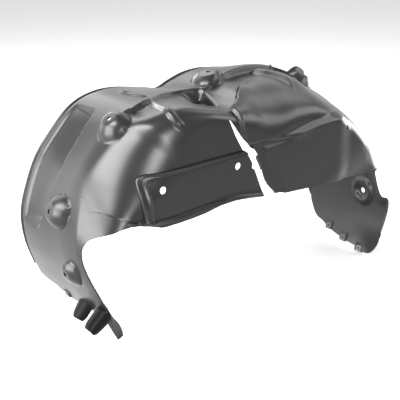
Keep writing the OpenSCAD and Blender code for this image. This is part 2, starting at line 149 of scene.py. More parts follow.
# Crests of the left and the right rib: their angle, by Y
RIB_1 = [[-145, 123.8], [-130, 123.4], [-98, 122], [-66, 121], [-18, 119], [8, 118.6],
         [75, 120.7]]
RIB_2 = [[-100, 66.2], [-88, 65.9], [-56, 64.9], [-28, 64.9], [-3, 65.6], [17, 66.7],
         [47, 67.5]]
# Right panel: top and foot of the ramp along its upper edge, by X
PANEL_TOP = [[-60, 232], [-28, 233], [3, 236], [44, 241], [97, 250], [132, 256], [189, 260],
             [230, 258], [262, 250]]
PANEL_LOW = [[-60, 217], [-2, 220], [30, 223], [58, 227], [97, 236], [133, 242], [189, 247],
             [223, 246], [262, 236]]
# Right panel: X of its edge beside the slit, by height above the wheel axis
STRIP_X = [[116, 44], [133, 36], [148, 24], [182, 7], [215, -7], [236, -32], [254, -41],
           [278, -59], [293, -73], [305, -84]]
# Angles where the shoulder and the wall lean most
SHOULDER_LEAN = 102
WALL_LEAN = 104
# How many degrees the sections lean: by the share of the way down the wall, and by Y
WALL_DRIFT = [[0, 0], [0.1, -0.3], [0.23, -0.6], [0.41, -4], [0.5, -7], [0.6, -9.5],
              [0.8, -14.5], [0.9, -19], [1, -25]]
TOP_DRIFT = [[-105, 0], [-67, -1.4], [-42, -3.2], [10, -6.6], [30, -6], [80, 0]]
# Slit in the side wall: left and right edge (x, z above the wheel axis)
SLIT_LEFT = [[-96, 292], [-80, 259], [-61, 227], [-50, 220], [-36, 197], [-22, 165],
             [-6, 127], [2, 88]]
SLIT_RIGHT = [[48, 88], [28, 119], [9, 139], [0, 153], [-5, 167], [-11, 183], [-20, 200],
              [-20, 210], [-28, 221], [-37, 226], [-50, 236], [-61, 251], [-77, 272],
              [-92, 293]]
# Stretches of sections: first angle, last angle, count
STRETCHES = [[LEFT_END, 198, 3], [196, 184, 6], [182, 171.5, 7], [169, 166, 2],
             [164.3, 154.7, 7], [152, 143, 4], [140.5, 127.5, 9], [125.5, 116, 8],
             [114, 111, 2], [109.5, 107, 3], [105.8, 98.4, 8], [96.6, 81, 10], [78.5, 70, 4],
             [68.3, 62, 6], [60, 57, 2], [55.4, 46.2, 7], [43.5, 12, 9], [8.5, 2, 3],
             [0, RIGHT_END, 8]]
# Y of the rows over the left half
LEFT_Y = [112, 92, 72, 56, 43, 33, 23, 13, 3, -7, -17, -28]
# Equal parts that each interval of sections and of rows is split into, and how many rows of the
# outer grid there are to one of the inner grid
SECTION_PARTS = 4
ROW_PARTS = 6
INNER_ROWS = 3
# Where a short crease of the left face is worn down, how far out and how often
EVENED_PLACE = (-381, -82, 305)
EVENED_REACH = 22
EVENING_PASSES = 10

# Softboxes: name, way from the part, distance, width, height, radiance
SOFTBOXES = [
    ("left", (-0.975, 0.05, 0.17), 2.5, 2.1, 1.45, 24.0),
    ("left high", (-0.73, -0.075, 0.67), 2.5, 1.9, 0.9, 36.0),
    ("back left", (-0.55, 0.80, 0.20), 2.5, 2.0, 1.4, 4.2),
    ("back rim", (0.10, 0.96, 0.30), 2.5, 1.0, 1.0, 6.0),
    ("back", (0.05, 0.66, 0.72), 2.5, 2.4, 1.2, 5.0),
    ("right high", (0.74, -0.47, 0.485), 2.6, 1.5, 0.9, 7.0),
    ("right top", (0.66, 0.10, 0.74), 2.6, 1.0, 1.0, 3.0),
    ("right low", (0.99, 0.05, 0.02), 2.5, 1.2, 0.8, 9.0),
    ("front", (-0.29, -0.945, 0.16), 3.0, 0.95, 0.95, 34.0),
]
# Point that the softboxes face, radiance of the world, and reach of the floor from the middle
LIGHT_AIM = (0, 0, 0.3)
WORLD_RADIANCE = 1.35
FLOOR_REACH = 9.0
# Camera: what it looks at, the way to it and its distance, and the scale at the target
CAMERA_TARGET = (-0.0681, -0.0176, 0.2274)
CAMERA_WAY = (-0.5785, -0.7405, 0.342)
CAMERA_DISTANCE = 1.9
PIXELS_PER_MM = 0.47
PICTURE_WIDTH = 400
SENSOR_WIDTH = 36
# Specular level of the plain plastic, and the much lower one given to the tongues as painted shade:
# it darkens them where they lie in shade under the foot
PLAIN_GLOSS = 0.25
TONGUE_SHADE_GLOSS = 0.03
# Base colour of the spring nuts
STEEL_COLOUR = (0.06, 0.06, 0.058)


def ease(low, high, x):
    """Smooth step: 0 up to low, 1 from high on, 3t^2 - 2t^3 between."""
    t = np.clip((x - low) / (high - low), 0, 1)
    return t * t * (3 - 2 * t)


def ramp(t, k=0.07):
    """Straight rise from 0 at t = 0 to 1 at t = 1, with both bends rounded by k."""
    return (np.sqrt(t * t + k * k) - np.sqrt((t - 1) ** 2 + k * k) + 1) / 2


def curve(table, x, column=1):
    """Cubic through the rows of a table, with slopes from the neighbouring rows."""
    rows = np.asarray(table, float)
    xs = rows[:, 0]
    ys = rows[:, column]
    slopes = np.empty_like(ys)
    slopes[1:-1] = (ys[2:] - ys[:-2]) / (xs[2:] - xs[:-2])
    slopes[0] = (ys[1] - ys[0]) / (xs[1] - xs[0])
    slopes[-1] = (ys[-1] - ys[-2]) / (xs[-1] - xs[-2])
    x = np.clip(x, xs[0], xs[-1])
    i = np.clip(np.searchsorted(xs, x, side="right") - 1, 0, len(xs) - 2)
    h = xs[i + 1] - xs[i]
    t = (x - xs[i]) / h
    return (ys[i] * (1 + 2 * t) * (1 - t) ** 2 + ys[i + 1] * t * t * (3 - 2 * t)
            + h * (slopes[i] * t * (1 - t) ** 2 - slopes[i + 1] * t * t * (1 - t)))


def cosd(a):
    """Cosine of degrees."""
    return np.cos(np.radians(a))


def sind(a):
    """Sine of degrees."""
    return np.sin(np.radians(a))


def edge_z(x):
    """Height of the wall's lower edge above the wheel axis, along X."""
    return WALL_BOTTOM + curve(EDGE_Z, x)


def low_r(a):
    """Radius where the wall ends: its straight lower edge, rounded into the flange of the feet."""
    r = np.full_like(a, WALL_BOTTOM)
    rounds = 6
    widest = 460
    far_off = 900
    for _ in range(rounds):
        r = edge_z(AXLE[0] + np.clip(r, 0, widest) * cosd(a)) / np.maximum(sind(a), 0.02)
    straight = np.minimum(r, far_off)
    flange = ARCH_R + curve(STATIONS, a, 3) - curve(FLANGE, a)
    rounding = 14.0
    blend = rounding * np.log1p(np.exp(-np.abs(straight - flange) / rounding))
    return np.minimum(straight, flange) - blend


def barrel_r(a, y):
    """Radius of the barrel: far rim, crest and shoulder radii joined across y, with the step."""
    far, crest, near = (curve(STATIONS, a, c) for c in (1, 2, 3))
    s = curve(STEP_Y, a)
    h = np.maximum(curve(STEP_H, a), 0) * STEP_HEIGHT
    flare = FOOT_FLARE * ease(-8, -20, a) * ease(-10, -100, y)
    up = h * ease(s - 4, s + 4, y)
    behind = crest + (far - crest) * ease(s + 10, Y_FAR - 10, y) - h + up
    front = crest - h + (near - crest + h) * ease(s, s - 110, y) + up
    return ARCH_R + flare + np.where(y > s, behind, front)


def foot_angle(a, y):
    """Angle on the feet, stretched so that the last section follows the foot's lower edge."""
    left = (LEFT_FOOT + (curve(FOOT_L, y) - LEFT_FOOT) * (a - LEFT_FOOT) / (LEFT_END - LEFT_FOOT)
            + curve(FOOT_CUT, y) * np.clip((a - LEFT_CUT) / (LEFT_END - LEFT_CUT), 0, 1))
    share = (RIGHT_FOOT - a) / (RIGHT_FOOT - RIGHT_END)
    right = RIGHT_FOOT - (RIGHT_FOOT - curve(FOOT_R, y)) * share
    return np.where(a > LEFT_FOOT, left, np.where(a < RIGHT_FOOT, right, a))


def drift_weight(a, middle):
    """How strongly a section leans: fully beside the slit, not at all at the feet."""
    first = 148
    last = 40
    return np.where(a > middle, np.clip((first - a) / (first - middle), 0, 1),
                    np.clip((a - last) / (middle - last), 0, 1))


def wall_y(a):
    """Y of the side wall."""
    return Y_WALL + curve(WALL_IN, a)


def wall_top(a):
    """Radius where the wall starts below the shoulder round."""
    return ARCH_R + curve(STATIONS, a, 3) - curve(STATIONS, a, 5)


def section_data(a):
    """Y of the wall, depth, fall, drop to the edge, and length and last angle of the shoulder.

    The shoulder is a quarter of an ellipse: its depth runs along Y and its fall inwards. Where the
    drop is less than the fall, the section ends on the shoulder, at its last angle.
    """
    depth = curve(STATIONS, a, 4)
    fall = curve(STATIONS, a, 5)
    near = ARCH_R + curve(STATIONS, a, 3)
    drop = np.maximum(near - low_r(a), 0.5)
    arc = np.pi / 2 * np.sqrt((depth ** 2 + fall ** 2) / 2)
    last = np.degrees(np.arccos(1 - np.minimum(drop, fall) / fall))
    return wall_y(a), depth, fall, drop, arc, last


def base_points(a, s):
    """Angle, Y, radius and angle on the shoulder round, for sections a and lengths s."""
    y0, depth, fall, drop, arc, last = section_data(a)
    flat = Y_FAR - y0 - depth
    arc_end = flat + arc * last / 90
    t = np.clip((s - flat) / arc * 90, 0, last)
    on_wall = (s > arc_end) & (drop > fall + 1)
    y = np.where(s < flat, Y_FAR - s, y0 + depth - depth * sind(t))
    turn = np.where(a > 60, curve(TOP_DRIFT, y) * drift_weight(a, SHOULDER_LEAN), 0)
    b = foot_angle(a, y) + turn
    r = barrel_r(b, y) - fall * (1 - cosd(t))
    w = np.clip((s - arc_end) / np.maximum(drop - fall, 1), 0, 1)
    bw = a + curve(WALL_DRIFT, w) * drift_weight(a, WALL_LEAN)
    bw = np.where(a < RIGHT_FOOT, foot_angle(bw, y), bw)
    top = wall_top(bw)
    b = np.where(on_wall, bw, b)
    y = np.where(on_wall, wall_y(bw), y)
    r = np.where(on_wall, top + (low_r(bw) - top) * w, r)
    return b, y, r, t


def row_places(a):
    """Lengths along each section where the rows run, so that they follow the step and beads."""
    y0, depth, fall, drop, arc, last = section_data(a)
    flat = Y_FAR - y0 - depth
    arc_end = flat + arc * last / 90
    wall = np.maximum(drop - fall, 0)
    total = arc_end + wall
    step = Y_FAR - curve(STEP_Y, a)
    panel_r = 240
    top = curve(PANEL_TOP, AXLE[0] + panel_r * cosd(a)) - 10
    widest = 7
    gap = np.minimum(widest, 0.01 + wall * 0.12)
    bead = arc_end + np.clip(wall_top(a) - top / np.maximum(sind(a), 0.5), 3 * gap,
                             np.maximum(wall - 5 * gap, 3 * gap))
    middle = ease(158, 148, a) * ease(20, 32, a)
    left = ease(122, 128, a)
    rim = [0, 4, LIP - LIP_HALF, LIP + LIP_HALF]
    keys = [place + 0 * a for place in rim]
    keys += [rim[-1] + (step - STEP_HALF - rim[-1]) * k / 6 for k in range(1, 7)]
    keys += [step, step + STEP_HALF]
    keys += [step + STEP_HALF + (arc_end - step - STEP_HALF) * (k / 8) ** 1.3 for k in range(1, 9)]
    keys += [(arc_end + bead - gap) / 2, bead - gap, bead, bead + gap,
             bead + gap + (total - 3 * gap - bead) * 0.45, total - 1.6 * gap, total]
    lefts = rim + [Y_FAR - y for y in LEFT_Y]
    n = len(keys) - 1
    m = len(lefts) - 1
    lefts += [lefts[m] + (total - lefts[m]) * k / (n - m) for k in range(1, n - m + 1)]
    feet = lefts[:m - 3]
    feet += [feet[-1] + (total - feet[-1]) * k / (n - m + 4) for k in range(1, n - m + 5)]
    rows = [(key * (1 - left) + over * left) * middle + foot * (1 - middle)
            for key, over, foot in zip(keys, lefts, feet)]
    return np.stack(rows, -1)


def f_lip(y):
    """Flange along the far rim: a step down, a slope, a round bead and the edge turned down."""
    step = 3 * ease(Y_FAR - 27, Y_FAR - 22, y)
    slope = 6 * ramp((y - Y_FAR + 24) / 24)
    bead = 4 * ease(Y_FAR - 12, Y_FAR - 8, y) * ease(Y_FAR - 1, Y_FAR - 5, y)
    edge = 3 * ease(Y_FAR - 3, Y_FAR, y)
    return bead - step - slope - edge


def f_pocket(a, y):
    """Long pocket beside the rim flange: its floor falls to a sharp crease on the near side."""
    crease = curve(CREASE_Y, a)
    far = Y_FAR - 30
    floor = np.clip((far - y) / (far - crease), 0, 1)
    depth = POCKET_EDGE * ease(0, 0.12, floor) + POCKET_DEPTH * floor ** 1.6
    ends = ease(131.6, 133.2, a) * (1 - ease(165, 169.5, a))
    inside = (a > 128) & (a < 175) & (y > 20)
    return np.where(inside, -depth * ends * ease(crease - 4, crease + 3, y), 0)


def f_rib1(a, y, r):
    """Rib across the left half, in front of the step."""
    d = np.abs(a - curve(RIB_1, y)) * np.radians(r)
    bead = RIB_1_HEIGHT * ease(10, 2, d) * ease(350, 364, r) * ease(-4, -14, y)
    return np.where((a < 108) | (a > 134) | (y > -4), 0, bead)


def f_rib2(a, y, r):
    """Rib across the right half, with the crest rising on its right."""
    d = (curve(RIB_2, y) - a) * np.radians(r)
    s = curve(STEP_Y, a)
    rise = RIB_2_BEAD * ease(8, 2, np.abs(d)) + RIB_2_RISE * ease(-6, 6, d) * ease(75, 18, d)
    return np.where((a < 48) | (a > 80), 0, rise * ease(-100, -30, y) * ease(s, s - 10, y))


def f_recess(a, y):
    """Deep recess in front of the top boss."""
    s = curve(STEP_Y, a)
    deep = -RECESS_DEPTH * ease(111, 107, a) * ease(101.6, 104.4, a) * ease(-80, -66, y)
    return np.where((a < 90) | (a > 116), 0, deep * ease(s + 2, s - 14, y))


def f_edge(x, z):
    """Flange along the lower edge of the left panel."""
    e = edge_z(x)
    ends = ease(-330, -290, x) * ease(16, 2, x)
    return EDGE_HEIGHT * ends * ease(e + 13, e, z) * ease(e + 60, e + 20, z)


def f_panel(x, z, t):
    """Right panel, which stands proud of the wall: a ramp at its top and one beside the slit."""
    high = curve(PANEL_TOP, x)
    side = ramp((x - curve(STRIP_X, np.minimum(z, 228))) / 7)
    rise = ramp((high - z) / (high - curve(PANEL_LOW, x)), 0.05)
    return np.where(x < -60, 0, PANEL_HEIGHT * rise * side * ease(258, 205, x) * ease(10, 50, t))


def f_strip(x, y, z, a):
    """Rise from the strip beside the slit to the right half."""
    rise = ease(102.2, 100.6, a) * ease(140, 10, x) * ease(10, -70, y) * ease(228, 240, z)
    return np.where(z < 228, 0, STRIP_HEIGHT * rise)


def f_dimple(a, y, r):
    """Ring round the hole of the right foot, pushed in towards the wheel."""
    angle, place = FOOT_HOLE
    d = np.hypot((a - angle) * np.radians(r), y - place)
    return np.where(a > 20, 0, -DIMPLE_DEPTH * ease(36, 27, d) * ease(12, 25, d))


def on_sheet(a, y):
    """Point of the plain barrel at an angle and axial place."""
    a = np.asarray(float(a))
    y = np.asarray(float(y))
    r = barrel_r(a, y)
    return np.array([AXLE[0] + r * cosd(a), y, AXLE[1] + r * sind(a)])


# Holes: X and Z about the wheel axis, or for the foot its angle and Y
PANEL_HOLES = [(-255, 183), (-72, 195)]
SIDE_HOLE = (237, 224)
TAB_HOLE = (-29, 187)
FOOT_HOLE = (1.8, -49)
# How far most cutters reach out in front of what they cut
CUT_AHEAD = 30
# Radii of the holes whose size the settings don't give
SIDE_HOLE_R = 5
TAB_HOLE_R = 6.5
FOOT_HOLE_R = 6.5
PAD_HOLE_R = 4
# Tab beside the slit: Z of its root, X and Z of its outer corner, length, width and corner radius
TAB_ROOT = 190
TAB_CORNER = (-48, 174)
TAB_LENGTH = 46
TAB_WIDTH = 32
TAB_ROUND = 7
# Tongues of the left foot: root, lean and turn about their length
TONGUES = [((-379, -49, 93), -142.8, -16), ((-373, -101, 77), -128, -76)]
# Width of a tongue, height of its ribs, and the share of its width at places down its length
TONGUE_WIDTH = 40
TONGUE_RIB = 1.6
TONGUE_TAPER = [(-12, 1), (0, 1), (12, 0.97), (24, 0.92), (31, 0.84), (35, 0.72), (37, 0.6)]
# Pads of the spring nuts: angle, axial place, turn, lean, side of the arch
PADS = [(-14.2, 36, 0, 0, 1), (-16.2, -20, 0, 0, 1), (-17.9, -71, 17, -9, 1),
        (188.6, 22, 0, -8, -1)]
# Frame of the left panel: outer and inner line, X and Z about the wheel axis
FRAME_OUT = [(-30, 227.4), (-63, 226.1), (-144, 223.4), (-217, 220.8), (-262, 218.4),
             (-280, 217.6), (-291, 216.6), (-299, 213.8), (-304.2, 209), (-306, 202),
             (-306.4, 186), (-304, 160), (-301.3, 136), (-300, 127)]
FRAME_IN = [(-30, 217.2), (-60, 215.5), (-140, 210.9), (-208, 206.9), (-250, 204.2),
            (-262, 203.3), (-270, 202), (-276, 198.8), (-280, 194), (-282, 187.5),
            (-282, 176), (-280.4, 154), (-278.7, 132), (-278, 123)]
FRAME_PROFILE = [(0, 0), (0.02, 2.6), (0.07, 5.0), (0.14, 5.8), (0.22, 5.2), (0.36, 3.6),
                 (0.68, 3.4), (0.8, 5.0), (0.87, 5.8), (0.94, 5.0), (0.98, 2.6), (1, 0)]
# Lens shaped rim on the left top, as its left and right side: angle and Y
LENS_LEFT = [(121.2, 76), (121.6, 60), (121.2, 42), (120.2, 24), (118.4, 8)]
LENS_RIGHT = [(120.4, 75), (119.2, 60), (118.4, 42), (117.8, 24), (117.9, 8)]
LENS_PROFILE = [(0, 0), (0.04, 1.4), (0.14, 2.2), (0.26, 0.2), (0.74, 0.2), (0.86, 2.2),
                (0.96, 1.4), (1, 0)]
# Rolled edge under the left panel: crease and lower edge, X and Z about the wheel axis
ROLL_TOP = [(-340, 135), (-318, 134), (-302, 131), (-290, 128), (-272, 126.4), (-217, 127.8),
            (-144, 133.6), (-66, 131.1), (-4, 121)]
ROLL_LOW = [(-340, 128), (-318, 127), (-302, 123), (-290, 120), (-272, 116), (-217, 114),
            (-144, 120.5), (-66, 125), (-4, 118)]
ROLL_PROFILE = [(0, 0), (0.08, 2.6), (0.25, 3.6), (0.5, 2.6), (0.8, 3.2), (1, 1)]
# How far a band's underside is sunk into the sheet
BAND_ROOT = 2.2

# Bosses: base point, axis, base radius, seat radius, height
BOSSES = [
    [on_sheet(134.2, -41), (cosd(124), -0.12, sind(124)), 36, 17, 22],
    [on_sheet(88, 45), (0, 0, 1), 35, 22, 15],
    [on_sheet(50, 14), (cosd(60), 0, sind(60)), 30, 17, 22],
    [on_sheet(161, -8), (cosd(168), 0.1, sind(168)), 34, 15, 22],
    [on_sheet(177, -46), (cosd(180), 0.1, sind(180)), 28, 12, 14],
]
# Share of a boss that is a cone, while the rest is a dome, and reach of a boss from its base point
CONE_SHARE = 0.45
BOSS_REACH = 90


def boss_lift(p):
    """Raises points along each boss axis: between a cone and a dome, with a flat seat."""
    out = np.zeros_like(p)
    for centre, axis, base, seat, height in BOSSES:
        n = np.array(axis, float)
        n = n / np.linalg.norm(n)
        d = p - centre
        q = np.linalg.norm(d - (d @ n)[..., None] * n, axis=-1)
        near = np.linalg.norm(d, axis=-1) < BOSS_REACH
        cone = ramp((base - q) / (base - seat), 0.05)
        flat = seat * 0.7
        dome = np.sqrt(1 - np.clip((q - flat) / (base - flat), 0, 1) ** 2)
        lift = height * (CONE_SHARE * cone + (1 - CONE_SHARE) * dome)
        out += np.where(near, lift, 0)[..., None] * n
    return out


def sheet_skin(a, s):
    """Outer skin of the sheet as points on the grid of sections a and lengths s."""
    b, y, r, t = base_points(a, s)
    x = AXLE[0] + r * cosd(b)
    z = r * sind(b)
    wall = (b > 8) & (b < 170)
    section = a + 0 * b
    barrel = (f_lip(y) + f_pocket(b, y) + f_rib1(b, y, r) + f_rib2(b, y, r)
              + f_recess(section, y) + f_dimple(b, y, r))
    right = np.where(t > 8, f_panel(x, z, t) + f_strip(x, y, z, section), 0)
    left = np.where(t > 50, f_edge(x, z), 0)
    height = barrel + np.where(wall, left + right, 0)
    p = np.stack([x, y, AXLE[1] + z], -1)
    n = np.stack([cosd(t) * cosd(b), -sind(t), cosd(t) * sind(b)], -1)
    return p + height[..., None] * n + boss_lift(p)


def grid_normals(p):
    """Unit normals of a grid of points, from the differences of its neighbours."""
    u = np.gradient(p, axis=0)
    v = np.gradient(p, axis=1)
    n = np.cross(v, u)
    return n / np.maximum(np.linalg.norm(n, axis=-1, keepdims=True), 1e-9)


def evened(p, place, reach):
    """Grid of points worn down round one place: each goes towards the mean of its neighbours."""
    weight = 0.8 * ease(reach, reach * 0.5, np.linalg.norm(p - place, axis=-1))[..., None]
    for _ in range(EVENING_PASSES):
        mean = p.copy()
        mean[1:-1, 1:-1] = (p[2:, 1:-1] + p[:-2, 1:-1] + p[1:-1, 2:] + p[1:-1, :-2]) / 4
        p = p + weight * (mean - p)
    return p


def fine(values, parts):
    """Splits each interval of a list of values, along its last axis, into equal parts."""
    values = np.asarray(values, float)
    k = np.arange(parts) / parts
    low = values[..., :-1, None]
    high = values[..., 1:, None]
    inner = (low + (high - low) * k).reshape(*values.shape[:-1], -1)
    return np.concatenate([inner, values[..., -1:]], -1)


def grid_faces(rows, columns, first=0, flip=False):
    """Four-sided faces of a grid whose points are stored row by row."""
    i = np.arange(rows - 1)[:, None] * columns + np.arange(columns - 1)[None, :] + first
    quads = np.stack([i, i + 1, i + columns + 1, i + columns], -1).reshape(-1, 4)
    return quads[:, ::-1] if flip else quads


def closed_sheet(name, outer, inner, skip):
    """Mesh of an outer grid and an inner one with each skip-th row, joined round their edges."""
    nu, nv = outer.shape[:2]
    mu, mv = inner.shape[:2]
    first = nu * nv
    points = np.concatenate([outer.reshape(-1, 3), inner.reshape(-1, 3)])
    faces = [tuple(f) for f in grid_faces(nu, nv).tolist()]
    faces += [tuple(f) for f in grid_faces(mu, mv, first, True).tolist()]
    ring_o = [(i, 0) for i in range(nu - 1)] + [(nu - 1, j) for j in range(nv - 1)]
    ring_o += [(i, nv - 1) for i in range(nu - 1, 0, -1)] + [(0, j) for j in range(nv - 1, 0, -1)]
    index = {place: k for k, place in enumerate(ring_o)}
    ring_i = [(i, 0) for i in range(mu - 1)] + [(mu - 1, j) for j in range(mv - 1)]
    ring_i += [(i, mv - 1) for i in range(mu - 1, 0, -1)]
    ring_i += [(0, j) for j in range(mv - 1, 0, -1)]
    for k, (i, j) in enumerate(ring_i):
        i2, j2 = ring_i[(k + 1) % len(ring_i)]
        start = index[(i, j * skip)]
        stop = index[(i2, j2 * skip)]
        count = (stop - start) % len(ring_o)
        run = [ring_o[(start + c) % len(ring_o)] for c in range(count + 1)]
        side = [u * nv + v for u, v in run]
        faces.append(tuple(side + [first + i2 * mv + j2, first + i * mv + j]))
    mesh = bpy.data.meshes.new(name)
    mesh.from_pydata((points * MM).tolist(), [], faces)
    mesh.update()
    return mesh


def new_object(name, mesh):
    """Object at the origin that holds a mesh."""
    piece = bpy.data.objects.new(name, mesh)
    bpy.context.collection.objects.link(piece)
    return piece


def closed(name, points, faces):
    """Mesh of points in millimetres and faces, turned outwards."""
    mesh = bpy.data.meshes.new(name)
    mesh.from_pydata((np.asarray(points, float) * MM).tolist(), [], faces)
    mesh.update()
    outward(mesh)
    return mesh


def prism(name, outline, low, high):
    """Closed prism along Y from an outline in X and Z, in millimetres."""
    pts = np.asarray(outline, float)
    n = len(pts)
    front = np.stack([pts[:, 0], np.full(n, low), pts[:, 1]], -1)
    back = np.stack([pts[:, 0], np.full(n, high), pts[:, 1]], -1)
    faces = [tuple(range(n)), tuple(range(2 * n - 1, n - 1, -1))]
    faces += [(k, k + n, (k + 1) % n + n, (k + 1) % n) for k in range(n)]
    return closed(name, np.concatenate([front, back]), faces)


def rod(name, start, axis, radius, length, sides=40):
    """Closed round rod from a start point along an axis, in millimetres."""
    n = np.array(axis, float)
    n = n / np.linalg.norm(n)
    side = np.cross(n, [0.3, 0.5, 0.8])
    side = side / np.linalg.norm(side)
    up = np.cross(n, side)
    turn = np.linspace(0, 2 * np.pi, sides, endpoint=False)[:, None]
    ring = radius * (np.cos(turn) * side + np.sin(turn) * up)
    a = np.array(start, float) + ring
    b = a + n * length
    faces = [tuple(range(sides - 1, -1, -1)), tuple(range(sides, 2 * sides))]
    faces += [(k, (k + 1) % sides, (k + 1) % sides + sides, k + sides) for k in range(sides)]
    return closed(name, np.concatenate([a, b]), faces)


def outward(mesh):
    """Turns all the faces of a closed mesh outwards."""
    bm = bmesh.new()
    bm.from_mesh(mesh)
    bmesh.ops.recalc_face_normals(bm, faces=bm.faces)
    bm.to_mesh(mesh)
    bm.free()


def tab_outline():
    """Rounded plate that laps behind the left panel, in X and Z."""
    low = np.array(TAB_CORNER) + [MIDDLE[0], AXLE[1] + MIDDLE[2]]
    points = [(TAB_LENGTH, 0), (TAB_LENGTH, TAB_WIDTH)]
    for z, first in ((TAB_WIDTH - TAB_ROUND, 90), (TAB_ROUND, 180)):
        points += [(TAB_ROUND + TAB_ROUND * cosd(turned), z + TAB_ROUND * sind(turned))
                   for turned in range(first, first + 91, 15)]
    return np.array(points) + low


def join(piece, meshes):
    """Joins closed meshes to a piece, one after another, as one closed mesh."""
    for mesh in meshes:
        combine(piece, [mesh], "UNION")


def cut(piece, meshes):
    """Cuts closed meshes out of a piece."""
    combine(piece, meshes, "DIFFERENCE")


def combine(piece, meshes, operation):
    """Joins or cuts closed meshes and applies the result."""
    tools = bpy.data.collections.new("cutters")
    bpy.context.scene.collection.children.link(tools)
    for mesh in meshes:
        tools.objects.link(bpy.data.objects.new(mesh.name, mesh))
    modifier = piece.modifiers.new("cut", "BOOLEAN")
    modifier.operation = operation
    modifier.operand_type = "COLLECTION"
    modifier.collection = tools
    modifier.solver = "MANIFOLD"
    deps = bpy.context.evaluated_depsgraph_get()
    result = bpy.data.meshes.new_from_object(piece.evaluated_get(deps))
    piece.modifiers.clear()
    old = piece.data
    piece.data = result
    bpy.data.meshes.remove(old)
    for tool in list(tools.objects):
        data = tool.data
        bpy.data.objects.remove(tool)
        bpy.data.meshes.remove(data)
    bpy.data.collections.remove(tools)


def smooth(mesh, degrees):
    """Smooth shading, with edges sharper than an angle kept hard."""
    mesh.polygons.foreach_set("use_smooth", np.ones(len(mesh.polygons), bool))
    mesh.set_sharp_from_angle(angle=np.radians(degrees))


def wall_points(tree, pairs):
    """Places and normals on the side wall, for pairs of X and Z about the wheel axis."""
    places = []
    normals = []
    ahead = 40
    for x, z in pairs:
        start = np.array([x, Y_WALL - ahead, AXLE[1] + z]) + MIDDLE
        place, normal, _, _ = tree.ray_cast(Vector(start), Vector((0, 1, 0)), ahead + 50)
        places.append(start + [0, ahead - 2, 0] if place is None else place)
        normals.append((0, -1, 0) if normal is None else normal)
    return np.array(places, float), np.array(normals, float)


def barrel_points(tree, pairs):
    """Places and normals on the barrel, for pairs of angle and axial place."""
    places = []
    normals = []
    ahead = 100
    for a, y in pairs:
        way = np.array([cosd(a), 0, sind(a)])
        start = np.array([AXLE[0], y, AXLE[1]]) + MIDDLE + way * (ARCH_R + ahead)
        place, normal, _, _ = tree.ray_cast(Vector(start), Vector(-way), ahead + 160)
        places.append(start - way * (ahead + 20) if place is None else place)
        normals.append(way if normal is None else normal)
    return np.array(places, float), np.array(normals, float)


def dense(pairs, count):
    """Smooth curve through pairs, as count points at even steps of the row number."""
    rows = np.asarray(pairs, float)
    knots = np.arange(len(rows))
    t = np.linspace(0, len(rows) - 1, count)
    return np.stack([curve(np.column_stack([knots, rows[:, c]]), t) for c in (0, 1)], -1)


def ribbon(name, tree, finder, first, second, profile, count=60, ends=(0.02, 0.02)):
    """Raised band on the sheet between two lines: profile pairs are the way across and height."""
    first = dense(first, count)
    second = dense(second, count)
    one, n_one = finder(tree, first)
    two, n_two = finder(tree, second)
    way = np.linspace(0, 1, count)
    fade = ease(0, ends[0], way) * ease(1, 1 - ends[1], way)
    rows = []
    for f, h in profile:
        base, normal = finder(tree, first + (second - first) * f)
        rows.append(base + (h * fade - 0.3 * (1 - fade))[:, None] * normal)
    grid = np.stack([one - BAND_ROOT * n_one] + rows + [two - BAND_ROOT * n_two], 1)
    n, m = grid.shape[:2]
    quads = [tuple(f) for f in grid_faces(n, m).tolist()]
    quads += [(i * m + m - 1, i * m, (i + 1) * m, (i + 1) * m + m - 1) for i in range(n - 1)]
    quads += [tuple(range(m)), tuple(range((n - 1) * m + m - 1, (n - 1) * m - 1, -1))]
    return closed(name, grid.reshape(-1, 3), quads)


def box(name, centre, axes, low, high):
    """Block between two corners in its own axes, placed at a centre, in millimetres."""
    axes = np.asarray(axes, float)
    corners = [(x, y, z) for x in (low[0], high[0]) for y in (low[1], high[1])
               for z in (low[2], high[2])]
    points = np.array(centre) + np.array(corners) @ axes
    faces = [(0, 1, 3, 2), (4, 6, 7, 5), (0, 4, 5, 1), (2, 3, 7, 6), (0, 2, 6, 4), (1, 5, 7, 3)]
    return closed(name, points, faces)


def turn(axis, degrees):
    """Matrix that turns row vectors about X, Y or Z."""
    c = cosd(degrees)
    s = sind(degrees)
    i, j = [(1, 2), (2, 0), (0, 1)]["XYZ".index(axis)]
    out = np.eye(3)
    out[i, i] = c
    out[j, j] = c
    out[i, j] = s
    out[j, i] = -s
    return out


def tongue(root, lean, twist):
    """Curved tongue under the left foot: an arc of sheet with a rim and two ribs, run downwards."""
    r = TONGUE_WIDTH * 0.62
    half = np.degrees(np.arcsin(TONGUE_WIDTH / 2 / r))
    k = np.linspace(-1, 1, 33)
    bump = TONGUE_RIB * (ease(0.16, 0.05, np.abs(np.abs(k) - 0.38)) + ease(0.86, 0.98, np.abs(k)))
    outer = np.stack([(r + 0 * k) * cosd(half * k), r * sind(half * k)], -1)
    inner = (r - SHEET - bump)[:, None] * np.stack([cosd(half * k), -sind(half * k)], -1)
    section = np.concatenate([outer, inner])
    section[:, 0] -= (r + r * cosd(half)) / 2
    n = len(section)
    matrix = turn("Z", twist) @ turn("Y", lean)
    rows = [np.column_stack([section[:, 0], section[:, 1] * w, np.full(n, z)])
            for z, w in TONGUE_TAPER]
    points = np.concatenate(rows) @ matrix + np.array(root) + MIDDLE
    faces = [(i * n + k, i * n + (k + 1) % n, (i + 1) * n + (k + 1) % n, (i + 1) * n + k)
             for i in range(len(rows) - 1) for k in range(n)]
    last = (len(rows) - 1) * n
    faces += [tuple(range(n)), tuple(range(last + n - 1, last - 1, -1))]
    mesh = closed("tongue", points, faces)
    # The tongues take the second material, whose low specular level darkens them as painted shade
    mesh.polygons.foreach_set("material_index", np.ones(len(mesh.polygons), np.int32))
    return mesh


